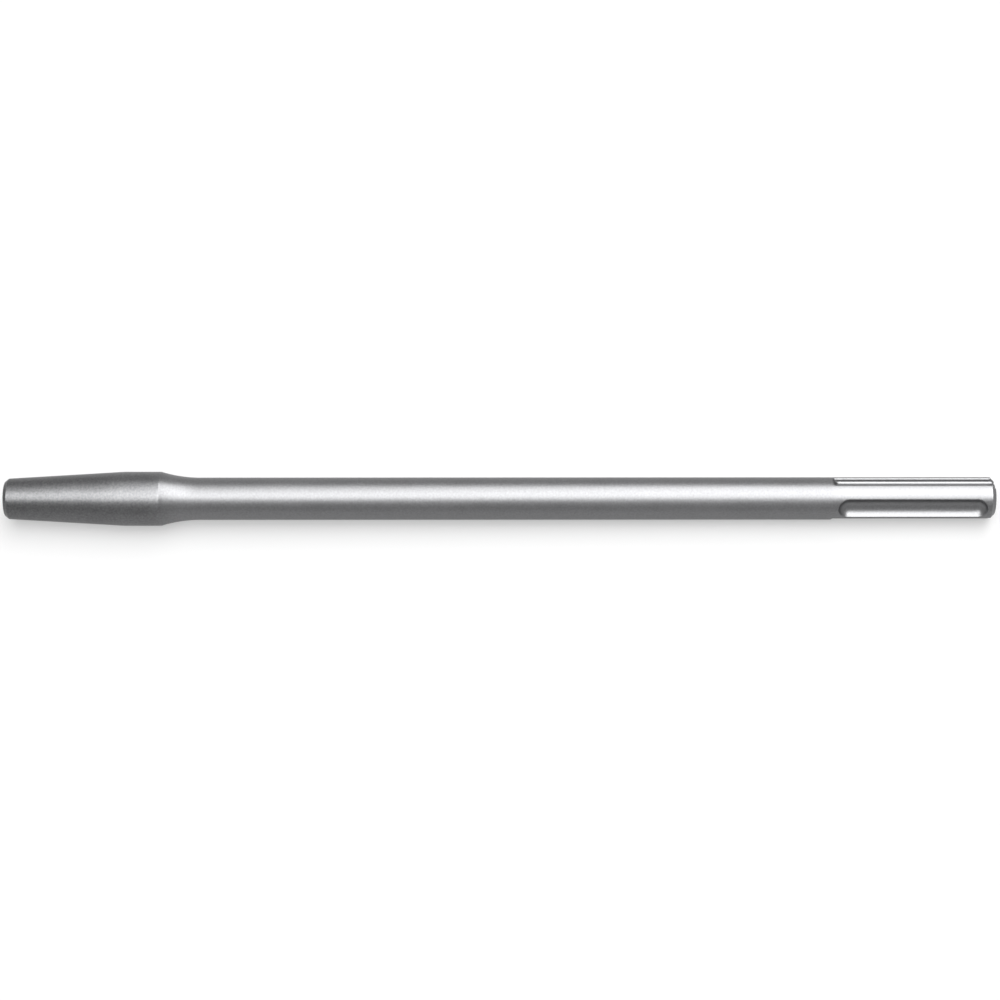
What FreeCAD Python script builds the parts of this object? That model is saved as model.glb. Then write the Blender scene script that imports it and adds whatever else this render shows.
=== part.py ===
import FreeCAD, Part
import math
import os

from FreeCAD import Vector

# One-piece steel adaptor that carries a floor scraper blade in a demolition hammer.
# The bar lies along X. The origin is the centre of the striking face at the slotted
# end of the shank, +X leaves that face, and the tapered nose is at the far -X end.

overall_length = 420.0

# Turned outline: a plug with a slow taper, a short plain collar, then a hollow neck
# that runs out into the bar.
shank_diameter = 18.0
collar_diameter = 23.0
nose_diameter = 17.1
taper_length = 50.5
collar_length = 15.7
neck_length = 16.5

# Breaks at the two ends.
nose_chamfer_length = 1.5
nose_chamfer_depth = 1.1
striking_chamfer = 1.75

# Two closed locking grooves on opposite sides, with ball-shaped ends.
locking_groove_radius = 5.0
locking_groove_depth = 3.5
locking_groove_from_face = 3.5
locking_groove_length = 63.3

# Three drive grooves, open at the striking face: one midway between the locking
# grooves, and a pair spread about the opposite side.
drive_groove_width = 4.4
drive_groove_depth = 2.5
drive_groove_length = 68.7
drive_runout_radius = 3.2
drive_corner_radius = 1.2
drive_pair_spread = 70.0

# All groove edges are rounded off where they break the shank's surface, those of the
# drive grooves the most.
locking_edge_radius = 0.4
drive_edge_radius = 0.8

# How far the finished adaptor is rolled about its axis from the position in which its
# single drive groove is on top. It then rests on the two edges of one groove of the pair.
resting_roll = -35.0

AXIS_POINT = Vector(0, 0, 0)
AXIS = Vector(1, 0, 0)
TOUCH = 1e-4


def closed_face(curves):
    """Flat face inside a chain of lines and arcs."""
    return Part.Face(Part.Wire([curve.toShape() for curve in curves]))


def turned_bar():
    """The whole bar before its grooves: a half section turned about the X axis."""
    nose_x = -overall_length
    collar_x = nose_x + taper_length
    neck_x = collar_x + collar_length
    bar_x = neck_x + neck_length

    shank_radius = shank_diameter / 2.0
    collar_radius = collar_diameter / 2.0
    nose_radius = nose_diameter / 2.0
    widening = (collar_radius - nose_radius) / taper_length
    taper_start_radius = nose_radius + widening * nose_chamfer_length

    # The neck is one hollow arc, tangent to the bar where it ends.
    step = collar_radius - shank_radius
    neck_radius = (neck_length ** 2 + step ** 2) / (2.0 * step)
    neck_centre = Vector(bar_x, 0.0, shank_radius + neck_radius)
    half_sweep = math.asin(neck_length / neck_radius) / 2.0
    to_middle = Vector(-math.sin(half_sweep), 0.0, -math.cos(half_sweep))

    nose_centre = Vector(nose_x, 0.0, 0.0)
    nose_edge = Vector(nose_x, 0.0, nose_radius - nose_chamfer_depth)
    taper_start = Vector(nose_x + nose_chamfer_length, 0.0, taper_start_radius)
    collar_start = Vector(collar_x, 0.0, collar_radius)
    neck_start = Vector(neck_x, 0.0, collar_radius)
    neck_middle = neck_centre + to_middle * neck_radius
    bar_start = Vector(bar_x, 0.0, shank_radius)
    chamfer_start = Vector(-striking_chamfer, 0.0, shank_radius)
    face_edge = Vector(0.0, 0.0, shank_radius - striking_chamfer)
    face_centre = Vector(0.0, 0.0, 0.0)

    section = closed_face([
        Part.LineSegment(nose_centre, nose_edge),
        Part.LineSegment(nose_edge, taper_start),
        Part.LineSegment(taper_start, collar_start),
        Part.LineSegment(collar_start, neck_start),
        Part.Arc(neck_start, neck_middle, bar_start),
        Part.LineSegment(bar_start, chamfer_start),
        Part.LineSegment(chamfer_start, face_edge),
        Part.LineSegment(face_edge, face_centre),
        Part.LineSegment(face_centre, nose_centre),
    ])
    return section.revolve(AXIS_POINT, AXIS, 360.0)


def locking_groove_cutter():
    """Round bar with ball ends, sunk into the top of the shank to the groove's depth."""
    radius = locking_groove_radius
    lift = radius - locking_groove_depth
    centre_height = shank_diameter / 2.0 + lift
    end_reach = math.sqrt(radius ** 2 - lift ** 2)
    near_x = -locking_groove_from_face - end_reach
    far_x = -locking_groove_from_face - locking_groove_length + end_reach
    diagonal = radius * math.sqrt(0.5)

    near_tip = Vector(near_x + radius, 0.0, centre_height)
    near_middle = Vector(near_x + diagonal, 0.0, centre_height + diagonal)
    near_top = Vector(near_x, 0.0, centre_height + radius)
    far_top = Vector(far_x, 0.0, centre_height + radius)
    far_middle = Vector(far_x - diagonal, 0.0, centre_height + diagonal)
    far_tip = Vector(far_x - radius, 0.0, centre_height)

    section = closed_face([
        Part.Arc(near_tip, near_middle, near_top),
        Part.LineSegment(near_top, far_top),
        Part.Arc(far_top, far_middle, far_tip),
        Part.LineSegment(far_tip, near_tip),
    ])
    return section.revolve(Vector(0.0, 0.0, centre_height), AXIS, 360.0)


def drive_groove_cutter():
    """Straight key on top of the shank, with a curved run-out at its inner end."""
    shank_radius = shank_diameter / 2.0
    floor = shank_radius - drive_groove_depth
    top = shank_radius + drive_runout_radius
    wall = -drive_groove_width / 2.0

    # The floor climbs along an arc that leaves the shank's surface at the full length.
    runout_height = floor + drive_runout_radius
    rise = runout_height - shank_radius
    reach = math.sqrt(drive_runout_radius ** 2 - rise ** 2)
    runout_x = -drive_groove_length + reach
    back_x = runout_x - drive_runout_radius
    diagonal = drive_runout_radius * math.sqrt(0.5)
    open_x = drive_runout_radius

    open_floor = Vector(open_x, wall, floor)
    runout_start = Vector(runout_x, wall, floor)
    runout_middle = Vector(runout_x - diagonal, wall, runout_height - diagonal)
    runout_end = Vector(back_x, wall, runout_height)
    back_top = Vector(back_x, wall, top)
    open_top = Vector(open_x, wall, top)

    side = closed_face([
        Part.LineSegment(open_floor, runout_start),
        Part.Arc(runout_start, runout_middle, runout_end),
        Part.LineSegment(runout_end, back_top),
        Part.LineSegment(back_top, open_top),
        Part.LineSegment(open_top, open_floor),
    ])
    key = side.extrude(Vector(0.0, drive_groove_width, 0.0))
    corners = [edge for edge in key.Edges if runs_along_floor(edge, runout_height)]
    return key.makeFillet(drive_corner_radius, corners)


def runs_along_floor(edge, runout_height):
    """True for the edges between a wall and the floor, and on up the run-out."""
    box = edge.BoundBox
    in_wall = box.YLength < TOUCH
    upright = box.XLength < TOUCH
    below_top = box.ZMax < runout_height + TOUCH
    return in_wall and below_top and not upright


def breaks_surface(edge):
    """True for the edges where a groove meets the round of the shank."""
    shank_radius = shank_diameter / 2.0
    locking_end = locking_groove_from_face + locking_groove_length
    grooved_length = max(locking_end, drive_groove_length)
    box = edge.BoundBox
    if edge.Degenerated or box.XLength < TOUCH or box.XMin < -grooved_length - TOUCH:
        return False
    radii = [math.hypot(point.y, point.z) for point in edge.discretize(5)]
    return all(abs(radius - shank_radius) < TOUCH for radius in radii)


def locking_half_angle():
    """Angle from the middle of a locking groove to its long edges."""
    shank_radius = shank_diameter / 2.0
    centre_height = shank_radius + locking_groove_radius - locking_groove_depth
    squares = shank_radius ** 2 + centre_height ** 2 - locking_groove_radius ** 2
    return math.acos(squares / (2.0 * shank_radius * centre_height))


def narrowest_land():
    """Angle between a locking groove's edge and that of the nearest drive groove."""
    drive_half = math.asin(drive_groove_width / shank_diameter)
    between = math.radians(90.0 - drive_pair_spread / 2.0)
    return between - locking_half_angle() - drive_half


def round_edges(shape, radius, in_locking_grooves):
    """Round the edges of the locking grooves, which lie at both sides, or of the others."""
    shank_radius = shank_diameter / 2.0
    land_middle = shank_radius * math.sin(locking_half_angle() + narrowest_land() / 2.0)
    edges = []
    for edge in shape.Edges:
        is_locking = edge.BoundBox.ZMax < land_middle and edge.BoundBox.ZMin > -land_middle
        if is_locking == in_locking_grooves and breaks_surface(edge):
            edges.append(edge)
    return shape.makeFillet(radius, edges)


def rolled(shape, angle):
    """Copy of a shape, turned about the bar's axis."""
    copy = shape.copy()
    copy.rotate(AXIS_POINT, AXIS, angle)
    return copy


def grooved_adaptor():
    """Cut the five grooves and round their edges, then roll the bar to its rest."""
    land = shank_diameter / 2.0 * narrowest_land()
    locking = locking_groove_cutter()
    drive = drive_groove_cutter()
    half_spread = drive_pair_spread / 2.0
    cutters = [
        rolled(locking, 90.0),
        rolled(locking, -90.0),
        drive,
        rolled(drive, 180.0 - half_spread),
        rolled(drive, 180.0 + half_spread),
    ]
    # The bar's seam is turned to the land between a drive and a locking groove.
    bar = rolled(turned_bar(), 45.0)
    grooved = bar.cut(cutters)
    rounded = round_edges(grooved, min(locking_edge_radius, 0.25 * land), True)
    rounded = round_edges(rounded, min(drive_edge_radius, 0.45 * land), False)
    return rolled(rounded, resting_roll)


os.makedirs("parts", exist_ok=True)
adaptor = grooved_adaptor()
adaptor.exportStep("parts/adaptor.step")
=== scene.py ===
import math

import bpy
from mathutils import Matrix, Vector


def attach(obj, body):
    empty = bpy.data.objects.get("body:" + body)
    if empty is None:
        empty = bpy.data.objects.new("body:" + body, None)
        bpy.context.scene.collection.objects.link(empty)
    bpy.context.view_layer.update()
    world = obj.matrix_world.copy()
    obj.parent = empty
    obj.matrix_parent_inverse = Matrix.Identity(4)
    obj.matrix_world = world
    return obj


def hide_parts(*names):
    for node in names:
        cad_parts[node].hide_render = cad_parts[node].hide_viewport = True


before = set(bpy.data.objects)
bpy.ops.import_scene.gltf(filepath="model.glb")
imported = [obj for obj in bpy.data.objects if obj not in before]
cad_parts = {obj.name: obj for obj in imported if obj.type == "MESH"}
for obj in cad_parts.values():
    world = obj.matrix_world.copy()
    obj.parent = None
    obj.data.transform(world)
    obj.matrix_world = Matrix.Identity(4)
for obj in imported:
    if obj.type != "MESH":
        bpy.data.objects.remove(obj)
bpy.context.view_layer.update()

MM = 0.001

# Sizes of the adaptor, in metres, as the solid has them.
OVERALL_LENGTH = 420.0 * MM
SHANK_RADIUS = 9.0 * MM
COLLAR_RADIUS = 11.5 * MM
NOSE_RADIUS = 8.55 * MM
TAPER_LENGTH = 50.5 * MM
COLLAR_LENGTH = 15.7 * MM
NECK_LENGTH = 16.5 * MM
NOSE_CHAMFER_LENGTH = 1.5 * MM
NOSE_CHAMFER_DEPTH = 1.1 * MM
STRIKING_CHAMFER = 1.75 * MM

LOCKING_GROOVE = {
    "Shank Radius": SHANK_RADIUS,
    "Groove Radius": 5.0 * MM,
    "Depth": 3.5 * MM,
    "From Face": 3.5 * MM,
    "Length": 63.3 * MM,
    "Edge Blend": 1.1 * MM,
}
DRIVE_GROOVE = {
    "Shank Radius": SHANK_RADIUS,
    "Width": 4.4 * MM,
    "Depth": 2.5 * MM,
    "Length": 68.7 * MM,
    "Runout Radius": 3.2 * MM,
    "Corner Radius": 1.2 * MM,
    "Edge Radius": 0.8 * MM,
}
# Directions round the bar, in degrees from -Y towards +Z.
LOCKING_ANGLES = (35.0, 215.0)
DRIVE_ANGLES = (125.0, 270.0, 340.0)

COLUMNS = 720


class Value:
    """A socket of a node tree, used in Python expressions that add Math nodes."""

    def __init__(self, tree, socket):
        self.tree = tree
        self.socket = socket

    def __add__(self, other):
        return self.tree.math("ADD", self, other)

    __radd__ = __add__

    def __sub__(self, other):
        return self.tree.math("SUBTRACT", self, other)

    def __rsub__(self, other):
        return self.tree.math("SUBTRACT", other, self)

    def __mul__(self, other):
        return self.tree.math("MULTIPLY", self, other)

    __rmul__ = __mul__

    def __truediv__(self, other):
        return self.tree.math("DIVIDE", self, other)

    def __neg__(self):
        return self.tree.math("MULTIPLY", self, -1.0)

    def __gt__(self, other):
        return self.tree.math("GREATER_THAN", self, other)

    def __lt__(self, other):
        return self.tree.math("LESS_THAN", self, other)

    def __abs__(self):
        return self.tree.math("ABSOLUTE", self)


class Tree:
    """Adds nodes to one node tree and wraps their sockets as values."""

    def __init__(self, nodes):
        self.nodes = nodes

    def node(self, kind, settings=None, inputs=None, output=0):
        """One node of a type, with its settings, then its sockets' values or links."""
        node = self.nodes.nodes.new(kind)
        for name, setting in (settings or {}).items():
            if name == "stops":
                self.set_stops(node.color_ramp, setting)
            else:
                setattr(node, name, setting)
        for key, value in (inputs or {}).items():
            if isinstance(value, Value):
                self.nodes.links.new(value.socket, node.inputs[key])
            else:
                node.inputs[key].default_value = value
        return Value(self, node.outputs[output]) if len(node.outputs) else node

    @staticmethod
    def set_stops(ramp, stops):
        while len(ramp.elements) < len(stops):
            ramp.elements.new(1.0)
        for element, (position, level) in zip(ramp.elements, stops):
            element.position = position
            element.color = (level, level, level, 1.0)

    def math(self, operation, *values):
        return self.node("ShaderNodeMath", {"operation": operation}, dict(enumerate(values)))

    def minimum(self, *values):
        lowest = values[0]
        for value in values[1:]:
            lowest = self.math("MINIMUM", lowest, value)
        return lowest

    def maximum(self, *values):
        highest = values[0]
        for value in values[1:]:
            highest = self.math("MAXIMUM", highest, value)
        return highest

    def clamp(self, value, low=0.0, high=1.0):
        return self.minimum(self.maximum(value, low), high)

    def root(self, value):
        return self.math("SQRT", self.maximum(value, 0.0))

    def smooth_minimum(self, one, other, distance):
        return self.math("SMOOTH_MIN", one, other, distance)

    def parts(self, vector):
        node = self.nodes.nodes.new("ShaderNodeSeparateXYZ")
        self.nodes.links.new(vector.socket, node.inputs[0])
        return [Value(self, output) for output in node.outputs]

    def vector(self, x, y, z):
        return self.node("ShaderNodeCombineXYZ", None, {0: x, 1: y, 2: z})

    def noise(self, place, scale, detail, roughness):
        sizes = {"Vector": place, "Scale": scale, "Detail": detail, "Roughness": roughness}
        return self.node("ShaderNodeTexNoise", None, sizes)

    def ramp(self, value, low, high):
        """0 below the low limit, 1 above the high one, smooth between."""
        settings = {"interpolation_type": "SMOOTHSTEP", "clamp": True}
        return self.node("ShaderNodeMapRange", settings, {0: value, 1: low, 2: high})

    def grey(self, level):
        return self.node("ShaderNodeCombineColor", None, {0: level, 1: level, 2: level})

    def light_path(self, ray):
        return self.node("ShaderNodeLightPath", None, None, ray)


def new_geometry_tree(name, sizes, is_group=False):
    """A geometry tree with a float input for each size; gives the tree and its inputs."""
    nodes = bpy.data.node_groups.new(name, "GeometryNodeTree")
    interface = nodes.interface
    if is_group:
        interface.new_socket("Point", in_out="INPUT", socket_type="NodeSocketVector")
        interface.new_socket("Angle", in_out="INPUT", socket_type="NodeSocketFloat")
        interface.new_socket("Point", in_out="OUTPUT", socket_type="NodeSocketVector")
        interface.new_socket("Edge", in_out="OUTPUT", socket_type="NodeSocketFloat")
    else:
        interface.new_socket("Geometry", in_out="INPUT", socket_type="NodeSocketGeometry")
        interface.new_socket("Geometry", in_out="OUTPUT", socket_type="NodeSocketGeometry")
    for size in sizes:
        interface.new_socket(size, in_out="INPUT", socket_type="NodeSocketFloat")
    tree = Tree(nodes)
    start = nodes.nodes.new("NodeGroupInput")
    inputs = {socket.name: Value(tree, socket) for socket in start.outputs if socket.name}
    return tree, inputs


def across_bar(tree, point, angle):
    """A point's height along a groove's direction and its offset to the side of it."""
    x, y, z = tree.parts(point)
    sine = tree.math("SINE", angle)
    cosine = tree.math("COSINE", angle)
    height = z * sine - y * cosine
    side = y * sine + z * cosine
    return x, height, side, sine, cosine


def sunk_point(tree, point, sink, sine, cosine):
    """The point moved towards the axis by sink, along the groove's direction."""
    move = tree.vector(0.0, sink * cosine, -(sink * sine))
    return tree.node("ShaderNodeVectorMath", {"operation": "ADD"}, {0: point, 1: move})


def locking_groove_tree():
    """Closed groove of round section with ball ends, sunk into a point's surface."""
    tree, size = new_geometry_tree("locking_groove", LOCKING_GROOVE, is_group=True)
    x, height, side, sine, cosine = across_bar(tree, size["Point"], size["Angle"])
    radius = size["Groove Radius"]
    lift = radius - size["Depth"]
    centre = size["Shank Radius"] + lift
    end_reach = tree.root(radius * radius - lift * lift)
    near_x = -(size["From Face"] + end_reach)
    far_x = end_reach - size["From Face"] - size["Length"]
    past_end = tree.maximum(x - near_x, far_x - x, 0.0)
    inside = radius * radius - side * side - past_end * past_end
    bottom = centre - tree.root(inside) + (inside < 0.0) * radius
    blended = tree.smooth_minimum(height, bottom, size["Edge Blend"])
    closeness = 1.0 - abs(height - bottom) / size["Edge Blend"]
    moved = sunk_point(tree, size["Point"], height - blended, sine, cosine)
    tree.node("NodeGroupOutput", None, {0: moved, 1: tree.clamp(closeness)})
    return tree.nodes


def drive_groove_tree():
    """Open groove with upright walls, rounded corners and a curved run-out."""
    tree, size = new_geometry_tree("drive_groove", DRIVE_GROOVE, is_group=True)
    x, height, side, sine, cosine = across_bar(tree, size["Point"], size["Angle"])
    half_width = size["Width"] * 0.5
    corner = size["Corner Radius"]
    runout = size["Runout Radius"]
    floor = size["Shank Radius"] - size["Depth"]
    runout_height = floor + runout
    rise = runout_height - size["Shank Radius"]
    runout_x = tree.root(runout * runout - rise * rise) - size["Length"]

    # The floor, rounded up into its walls, then swept up along the run-out's arc.
    into_corner = tree.maximum(abs(side) - half_width + corner, 0.0)
    climb = corner - tree.root(corner * corner - into_corner * into_corner)
    reach = runout - climb
    past_floor = tree.minimum(x - runout_x, 0.0)
    inside = reach * reach - past_floor * past_floor
    bottom = runout_height - tree.root(inside)
    outside = tree.maximum(abs(side) > half_width, inside < 0.0) * size["Shank Radius"]

    # The rounded edge follows the groove's outline. It is wider along the sides, where
    # the round of the shank falls away from the groove.
    edge = size["Edge Radius"]
    shank = size["Shank Radius"]
    over_side = abs(side) - half_width + corner
    over_end = corner - size["Length"] - x
    square_side = tree.maximum(over_side, 0.0)
    square_end = tree.maximum(over_end, 0.0)
    to_corner = tree.root(square_side * square_side + square_end * square_end)
    inward = tree.minimum(tree.maximum(over_side, over_end), 0.0)
    distance = to_corner + inward - corner
    sideways = square_side / tree.maximum(to_corner, 0.01 * MM)
    side_width = (half_width + edge) * shank / (shank - edge) - half_width
    width = edge + (side_width - edge) * sideways * sideways
    closeness = tree.clamp(1.0 - distance / width) * (height > 0.0)
    drop = width * (1.0 - tree.root(1.0 - closeness * closeness))

    lowered = tree.minimum(height - drop, bottom + outside)
    moved = sunk_point(tree, size["Point"], height - lowered, sine, cosine)
    tree.node("NodeGroupOutput", None, {0: moved, 1: closeness})
    return tree.nodes


# The bar's stretches from nose to striking face: name of its length, rows of faces.
STRETCHES = (
    ("Nose Chamfer Length", 2),
    ("Taper Rest", 4),
    ("Collar Length", 2),
    ("Neck Length", 20),
    ("Plain Length", 4),
    ("Groove Start", 54),
    ("Groove Run", 4),
    ("Groove End", 36),
    ("End Land", 2),
    ("Striking Chamfer", 4),
)
BAR_SIZES = {
    "Overall Length": OVERALL_LENGTH,
    "Shank Radius": SHANK_RADIUS,
    "Collar Radius": COLLAR_RADIUS,
    "Nose Radius": NOSE_RADIUS,
    "Taper Length": TAPER_LENGTH,
    "Collar Length": COLLAR_LENGTH,
    "Neck Length": NECK_LENGTH,
    "Nose Chamfer Length": NOSE_CHAMFER_LENGTH,
    "Nose Chamfer Depth": NOSE_CHAMFER_DEPTH,
    "Striking Chamfer": STRIKING_CHAMFER,
    "Groove Start": 9.1 * MM,
    "Groove End": 5.6 * MM,
    "Groove Reach": 69.9 * MM,
    "Groove Margin": 2.9 * MM,
}


def station(tree, size, row):
    """Where a row of the tube lies along the bar: each stretch has rows of its own."""
    lengths = dict(size)
    lengths["Taper Rest"] = size["Taper Length"] - size["Nose Chamfer Length"]
    turned = size["Taper Length"] + size["Collar Length"] + size["Neck Length"]
    lengths["Plain Length"] = size["Overall Length"] - turned - size["Groove Reach"]
    grooves = size["Groove Start"] + size["Groove End"] + size["Groove Margin"]
    lengths["Groove Run"] = size["Groove Reach"] - grooves
    lengths["End Land"] = size["Groove Margin"] - size["Striking Chamfer"]
    x = -size["Overall Length"]
    first = 0
    for name, rows in STRETCHES:
        x = x + tree.clamp(row - float(first), 0.0, float(rows)) * (lengths[name] / float(rows))
        first += rows
    return x


def outline_radius(tree, size, x):
    """The turned outline: the lowest of both chamfers, the taper, collar and neck."""
    nose_x = -size["Overall Length"]
    bar_x = nose_x + size["Taper Length"] + size["Collar Length"] + size["Neck Length"]
    widening = (size["Collar Radius"] - size["Nose Radius"]) / size["Taper Length"]
    taper = size["Nose Radius"] + (x - nose_x) * widening

    chamfer_slope = size["Nose Chamfer Depth"] / size["Nose Chamfer Length"] + widening
    nose = size["Nose Radius"] - size["Nose Chamfer Depth"] + (x - nose_x) * chamfer_slope
    face = size["Shank Radius"] - size["Striking Chamfer"] - x

    step = size["Collar Radius"] - size["Shank Radius"]
    neck_length = size["Neck Length"]
    hollow = (neck_length * neck_length + step * step) / (step * 2.0)
    before_bar = tree.clamp(bar_x - x, 0.0, neck_length)
    dip = hollow - tree.root(hollow * hollow - before_bar * before_bar)
    neck = size["Shank Radius"] + dip
    return tree.minimum(taper, nose, neck, face)


def adaptor_tree(steel):
    """The whole adaptor: a closed tube of rows and columns, turned, then grooved."""
    tree, size = new_geometry_tree("turned_and_grooved_bar", BAR_SIZES)
    rows = sum(count for name, count in STRETCHES)
    tube = tree.node(
        "GeometryNodeMeshCylinder",
        {"fill_type": "NGON"},
        {"Vertices": COLUMNS, "Side Segments": rows, "Radius": 1.0, "Depth": float(rows)},
    )
    tube_y, tube_x, tube_z = tree.parts(tree.node("GeometryNodeInputPosition"))
    x = station(tree, size, tube_z + rows / 2.0)
    radius = outline_radius(tree, size, x)
    point = tree.vector(x, tube_y * radius, tube_x * radius)
    edge = None
    for groove, sizes, angles in (
        (locking_groove_tree(), LOCKING_GROOVE, LOCKING_ANGLES),
        (drive_groove_tree(), DRIVE_GROOVE, DRIVE_ANGLES),
    ):
        for angle in angles:
            node = tree.nodes.nodes.new("GeometryNodeGroup")
            node.node_tree = groove
            tree.nodes.links.new(point.socket, node.inputs["Point"])
            node.inputs["Angle"].default_value = math.radians(angle)
            for name, length in sizes.items():
                node.inputs[name].default_value = length
            point = Value(tree, node.outputs["Point"])
            closeness = Value(tree, node.outputs["Edge"])
            edge = closeness if edge is None else tree.maximum(edge, closeness)

    named = tree.node(
        "GeometryNodeStoreNamedAttribute",
        {"data_type": "FLOAT", "domain": "POINT"},
        {"Geometry": tube, "Name": "groove_edge", "Value": edge},
    )
    placed = tree.node("GeometryNodeSetPosition", None, {"Geometry": named, "Position": point})
    bend = tree.node("GeometryNodeInputMeshEdgeAngle")
    along = tree.parts(tree.node("GeometryNodeInputPosition"))[0]
    turned_end = along < -size["Groove Reach"]
    sharp = tree.maximum((bend > math.radians(8.0)) * turned_end, bend > math.radians(38.0))
    smooth_faces = tree.node(
        "GeometryNodeSetShadeSmooth", {"domain": "FACE"}, {0: placed, "Shade Smooth": True}
    )
    smooth = tree.node(
        "GeometryNodeSetShadeSmooth",
        {"domain": "EDGE"},
        {0: smooth_faces, "Selection": sharp, "Shade Smooth": False},
    )
    real = tree.node("GeometryNodeRealizeInstances", None, {0: smooth})
    finished = tree.node("GeometryNodeSetMaterial", None, {0: real, "Material": steel})
    tree.node("NodeGroupOutput", None, {0: finished})
    return tree.nodes


def made_by(nodes, sizes, name):
    """Plain mesh object with what a geometry tree makes from the given sizes."""
    maker = bpy.data.objects.new(name + "_maker", bpy.data.meshes.new(name + "_maker"))
    bpy.context.collection.objects.link(maker)
    modifier = maker.modifiers.new("make", "NODES")
    modifier.node_group = nodes
    for item in nodes.interface.items_tree:
        if item.in_out == "INPUT" and item.name in sizes:
            modifier[item.identifier] = sizes[item.name]
    graph = bpy.context.evaluated_depsgraph_get()
    mesh = bpy.data.meshes.new_from_object(maker.evaluated_get(graph), depsgraph=graph)
    bpy.data.objects.remove(maker)
    mesh.name = name
    piece = bpy.data.objects.new(name, mesh)
    bpy.context.collection.objects.link(piece)
    return piece


def new_material(name):
    material = bpy.data.materials.new(name)
    material.use_nodes = True
    material.node_tree.nodes.clear()
    return material, Tree(material.node_tree)


# The steel's grey where it is plain, and the places along the bar where its finish changes.
STEEL_GREY = 0.185
TAPER_END = -OVERALL_LENGTH + TAPER_LENGTH
COLLAR_END = TAPER_END + COLLAR_LENGTH
GROUND_START = -72.0 * MM
GROUND_END = -66.0 * MM


def adaptor_steel():
    """Bare tool steel: blasted head, fine turned bar, smoother ground shank."""
    material, tree = new_material("adaptor_steel")
    place = tree.node("ShaderNodeTexCoord", None, None, 3)
    x = tree.parts(place)[0]

    # Where along the bar the finish changes, and how far over the head towards the nose a point
    # lies; over that stretch the steel is made steadily darker.
    turned_start = COLLAR_END + 8.8 * MM
    headwards = 1.0 - tree.ramp(x, COLLAR_END - 6.2 * MM, turned_start)
    to_nose = tree.clamp((turned_start - x) * 13.3)
    neck_rings = tree.ramp(x, COLLAR_END - 2.2 * MM, COLLAR_END + 1.8 * MM)
    neckwards = neck_rings * (1.0 - tree.ramp(x, turned_start, turned_start + 30.0 * MM))
    shankwards = tree.ramp(x, GROUND_START, GROUND_END)

    grain = tree.noise(place, 1150.0, 2.0, 0.55) - 0.5
    speckle = tree.noise(place, 2600.0, 1.0, 0.5) - 0.5
    mottle = tree.noise(place, 75.0, 3.0, 0.5) - 0.5
    rings = tree.noise(tree.vector(x, 0.0, 0.0), 1500.0, 3.0, 0.6) - 0.5
    broad_rings = tree.noise(tree.vector(x, 0.0, 0.0), 190.0, 2.0, 0.5) - 0.5

    # Handling wears the proud edges brighter: groove edges, collar, taper and chamfers.
    groove_edge = tree.node("ShaderNodeAttribute", {"attribute_name": "groove_edge"}, None, 2)
    breaks = [
        1.0 - tree.clamp(abs(x - edge_x) / (0.7 * MM))
        for edge_x in (
            -OVERALL_LENGTH + NOSE_CHAMFER_LENGTH,
            TAPER_END,
            COLLAR_END,
            -STRIKING_CHAMFER,
        )
    ]
    worn = tree.clamp(tree.maximum(groove_edge * 0.5, *breaks) * (0.75 + grain * 1.5))

    roughest = 0.42 - headwards * 0.05 - shankwards * 0.03
    roughness = roughest + mottle * 0.06 + grain * 0.08 + rings * 0.03 - worn * 0.05
    # to_nose makes the steel steadily darker over the head, towards the nose.
    level = 1.01 - to_nose * 0.11 - headwards * 0.2 + worn * 0.06
    grain_share = 0.5 + headwards * 0.18 - shankwards * 0.05
    level = level + grain * grain_share + speckle * 0.14 + mottle * (0.1 + headwards * 0.08)
    level = level + rings * (0.07 + neckwards * 0.16) + broad_rings * 0.05
    reflectance = level * STEEL_GREY
    colour = tree.node(
        "ShaderNodeCombineColor",
        None,
        {0: reflectance * 0.995, 1: reflectance, 2: reflectance * 1.02},
    )

    relief = grain * (0.5 + headwards * 0.5 - shankwards * 0.25) + rings * 0.18
    normal = tree.node(
        "ShaderNodeBump", None, {"Strength": 0.12, "Distance": 0.00006, "Height": relief}
    )
    shader = tree.node(
        "ShaderNodeBsdfPrincipled",
        None,
        {"Base Color": colour, "Metallic": 1.0, "Roughness": roughness, "Normal": normal},
    )
    tree.node("ShaderNodeOutputMaterial", None, {"Surface": shader})
    return material


# The table top's own grey, and how much its white is lifted: where the camera sees it,
# where the steel mirrors it, and towards its edge, over these distances in metres.
TABLE_GREY = 0.3
SEEN_LIFT = 0.45
MIRRORED_LIFT = 0.3
EDGE_LIFT_FROM = 0.5
EDGE_LIFT_TO = 2.5


def floor_white():
    """White table top, lifted to the white of the background where it is seen."""
    material, tree = new_material("white_table_top")
    camera_ray = tree.light_path("Is Camera Ray")
    mirrored = tree.light_path("Is Glossy Ray") + tree.light_path("Is Transmission Ray")

    # Away from the lamp the floor is lifted further, so that it stays white to its edge.
    x, y = tree.parts(tree.node("ShaderNodeTexCoord", None, None, 3))[:2]
    from_middle = x + OVERALL_LENGTH / 2.0
    distance = tree.root(from_middle * from_middle + y * y)
    far = tree.ramp(distance, EDGE_LIFT_FROM, EDGE_LIFT_TO)
    lift = camera_ray * (SEEN_LIFT + far * (1.0 - SEEN_LIFT)) + mirrored * MIRRORED_LIFT
    shader = tree.node(
        "ShaderNodeBsdfPrincipled",
        None,
        {
            "Base Color": (TABLE_GREY, TABLE_GREY, TABLE_GREY, 1.0),
            "Roughness": 0.9,
            "Emission Color": tree.grey(lift),
            "Emission Strength": 1.0,
        },
    )
    tree.node("ShaderNodeOutputMaterial", None, {"Surface": shader})
    return material


# Where the adaptor rests: on its collar and on the rounded edges of its lowest groove.
collar_rest = Vector((COLLAR_END, 0.0, -COLLAR_RADIUS))
shank_rest = Vector((-STRIKING_CHAMFER, 0.0, -8.43 * MM))
rest_slope = (shank_rest.z - collar_rest.z) / (shank_rest.x - collar_rest.x)


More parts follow.
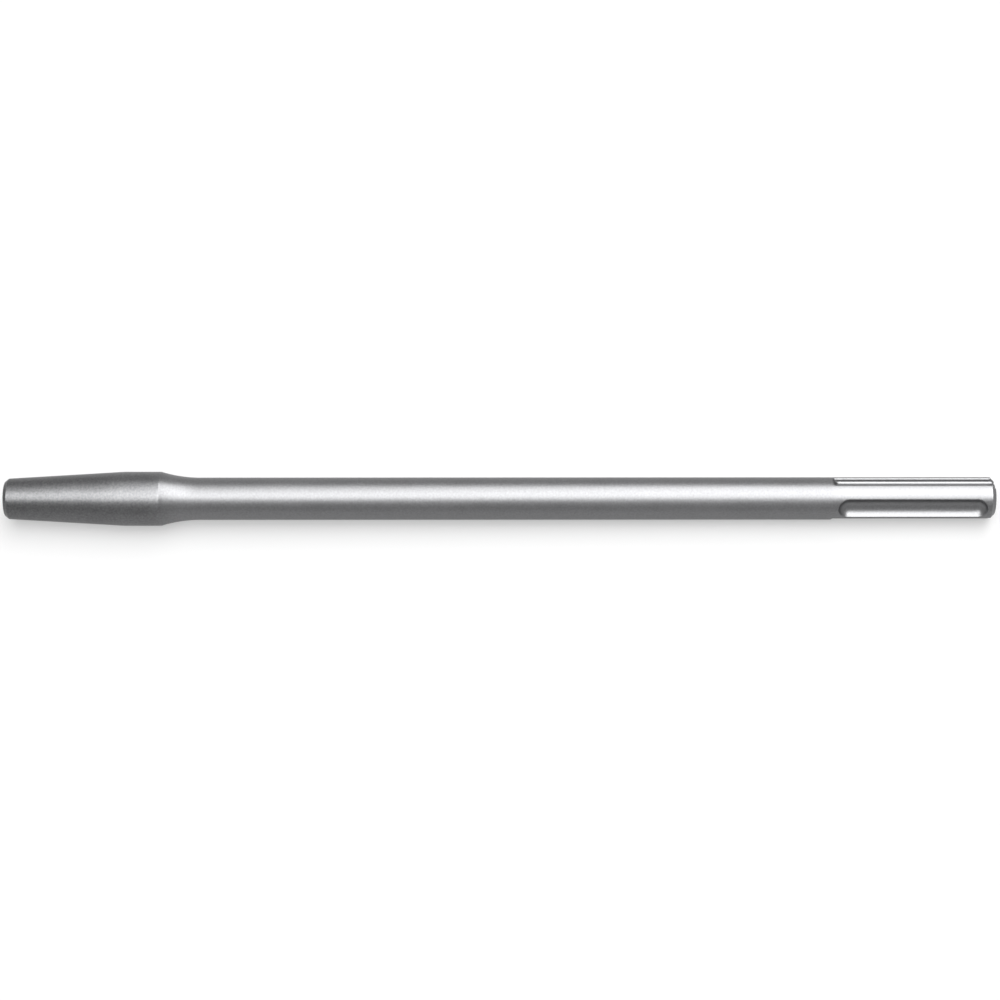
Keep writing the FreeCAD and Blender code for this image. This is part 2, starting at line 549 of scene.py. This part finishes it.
def table_top(size=6.0):
    """Large flat floor that touches the adaptor at both rests."""
    half = size / 2.0
    middle = Vector((-OVERALL_LENGTH / 2.0, 0.0, 0.0))
    corners = []
    for x, y in ((-half, -half), (half, -half), (half, half), (-half, half)):
        place = middle + Vector((x, y, 0.0))
        place.z = collar_rest.z + rest_slope * (place.x - collar_rest.x)
        corners.append(place)
    mesh = bpy.data.meshes.new("table_top")
    mesh.from_pydata(corners, [], [(0, 1, 2, 3)])
    floor = bpy.data.objects.new("table_top", mesh)
    bpy.context.collection.objects.link(floor)
    mesh.materials.append(floor_white())


def aim(thing, place, target, roll=0.0):
    """Put a lamp or camera at a place, facing a target."""
    turn = (Vector(target) - Vector(place)).to_track_quat("-Z", "Y").to_matrix().to_4x4()
    thing.matrix_world = Matrix.Translation(place) @ turn @ Matrix.Rotation(roll, 4, "Z")


def softbox(place, target, size, radiance):
    """Large cloth lamp: masked along a slant in front, dimmer to the left and to the back
    there, and brighter again at its left end."""
    lamp = bpy.data.lights.new("softbox", "AREA")
    lamp.shape = "RECTANGLE"
    lamp.size, lamp.size_y = size
    lamp.energy = radiance * math.pi * size[0] * size[1]
    lamp.use_nodes = True
    lamp.node_tree.nodes.clear()
    tree = Tree(lamp.node_tree)
    left, front = tree.parts(tree.node("ShaderNodeNewGeometry", None, None, 5))[:2]
    to_left = tree.maximum((left - SOFTBOX_FULL) * size[0], 0.0)
    to_back = (1.0 - front) * size[1]
    mask_end = SOFTBOX_MASK + SOFTBOX_MASK_EDGE
    behind_mask = tree.ramp(to_back + to_left * SOFTBOX_SLANT, SOFTBOX_MASK, mask_end)
    back_fade = to_left * tree.maximum(to_back - SOFTBOX_FRONT, 0.0) * SOFTBOX_BACK_FADE
    at_left_end = tree.ramp(to_left, SOFTBOX_LEFT_END_FROM, SOFTBOX_LEFT_END_TO)
    left_fade = (1.0 - to_left * SOFTBOX_LEFT_FADE) * (1.0 + at_left_end * SOFTBOX_LEFT_END)
    glowing = tree.maximum(1.0 - back_fade, 0.1) * left_fade
    glow = tree.node(
        "ShaderNodeEmission",
        None,
        {"Color": tree.grey(glowing * behind_mask), "Strength": 1.0},
    )
    tree.node("ShaderNodeOutputLight", None, {"Surface": glow})
    box = bpy.data.objects.new("softbox", lamp)
    bpy.context.collection.objects.link(box)
    aim(box, place, target)


# The photograph's view: far off and steeply from the front, the bar lying level.
VIEW_ELEVATION = math.radians(68.0)
VIEW_DISTANCE = 1.0
VIEW_WIDTH = 0.4256
TO_CAMERA = Vector((0.0, -math.cos(VIEW_ELEVATION), math.sin(VIEW_ELEVATION)))
IMAGE_UP = Vector((0.0, math.sin(VIEW_ELEVATION), math.cos(VIEW_ELEVATION)))


def add_camera():
    lens = bpy.data.cameras.new("camera")
    lens.sensor_width = 36.0
    lens.lens = lens.sensor_width * VIEW_DISTANCE / VIEW_WIDTH
    camera = bpy.data.objects.new("camera", lens)
    bpy.context.collection.objects.link(camera)
    target = Vector((-0.2098, 0.0, 0.0)) - IMAGE_UP * 0.0006
    aim(camera, target + TO_CAMERA * VIEW_DISTANCE, target, math.radians(-0.03))
    bpy.context.scene.camera = camera


# The softbox: its size and place, as an elevation that leans past overhead, and its light.
SOFTBOX_SIZE = (3.3, 5.2)
SOFTBOX_RADIANCE = 7.2
SOFTBOX_ELEVATION = math.radians(104.6)
SOFTBOX_DISTANCE = 3.0
SOFTBOX_TO_RIGHT = 0.05
SOFTBOX_FORWARDS = 0.6

# The part of its width, from the right, that is at full strength. Then, in metres or parts
# a metre, how its front mask slants, how it fades to the left and, there, to the back, and
# where and by how much its left end is brighter again.
SOFTBOX_FULL = 0.4
SOFTBOX_MASK = 0.95
SOFTBOX_MASK_EDGE = 0.1
SOFTBOX_SLANT = 0.55
SOFTBOX_FRONT = 2.3
SOFTBOX_BACK_FADE = 0.39
SOFTBOX_LEFT_FADE = 0.34
SOFTBOX_LEFT_END = 1.5
SOFTBOX_LEFT_END_FROM = 1.05
SOFTBOX_LEFT_END_TO = 1.5

# The surround: its light on the object, and its white in the camera and in the steel.
SURROUND_LIGHT = 0.1
SURROUND_MIRRORED = 0.6


def add_light():
    middle = Vector((-OVERALL_LENGTH / 2.0, 0.0, 0.0))
    rise, lean = math.sin(SOFTBOX_ELEVATION), math.cos(SOFTBOX_ELEVATION)
    direction = Vector((0.0, -lean, rise))
    forwards = Vector((0.0, -rise, -lean))
    place = middle + direction * SOFTBOX_DISTANCE
    shift = Vector((SOFTBOX_TO_RIGHT, 0.0, 0.0)) + forwards * SOFTBOX_FORWARDS
    softbox(place + shift, middle + shift, SOFTBOX_SIZE, SOFTBOX_RADIANCE)

    world = bpy.data.worlds.new("white_surround")
    bpy.context.scene.world = world
    world.use_nodes = True
    world.node_tree.nodes.clear()
    tree = Tree(world.node_tree)
    mirrored = tree.light_path("Is Glossy Ray") + tree.light_path("Is Transmission Ray")
    seen = tree.light_path("Is Camera Ray") * (1.0 - SURROUND_LIGHT)
    level = SURROUND_LIGHT + seen + mirrored * (SURROUND_MIRRORED - SURROUND_LIGHT)
    background = tree.node(
        "ShaderNodeBackground", None, {"Color": tree.grey(level), "Strength": 1.0}
    )
    tree.node("ShaderNodeOutputWorld", None, {"Surface": background})


steel = adaptor_steel()
adaptor = made_by(adaptor_tree(steel), BAR_SIZES, "adaptor_bar")
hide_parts("adaptor")
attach(adaptor, "root")

table_top()
add_camera()
add_light()

bpy.context.scene.view_settings.view_transform = "Standard"
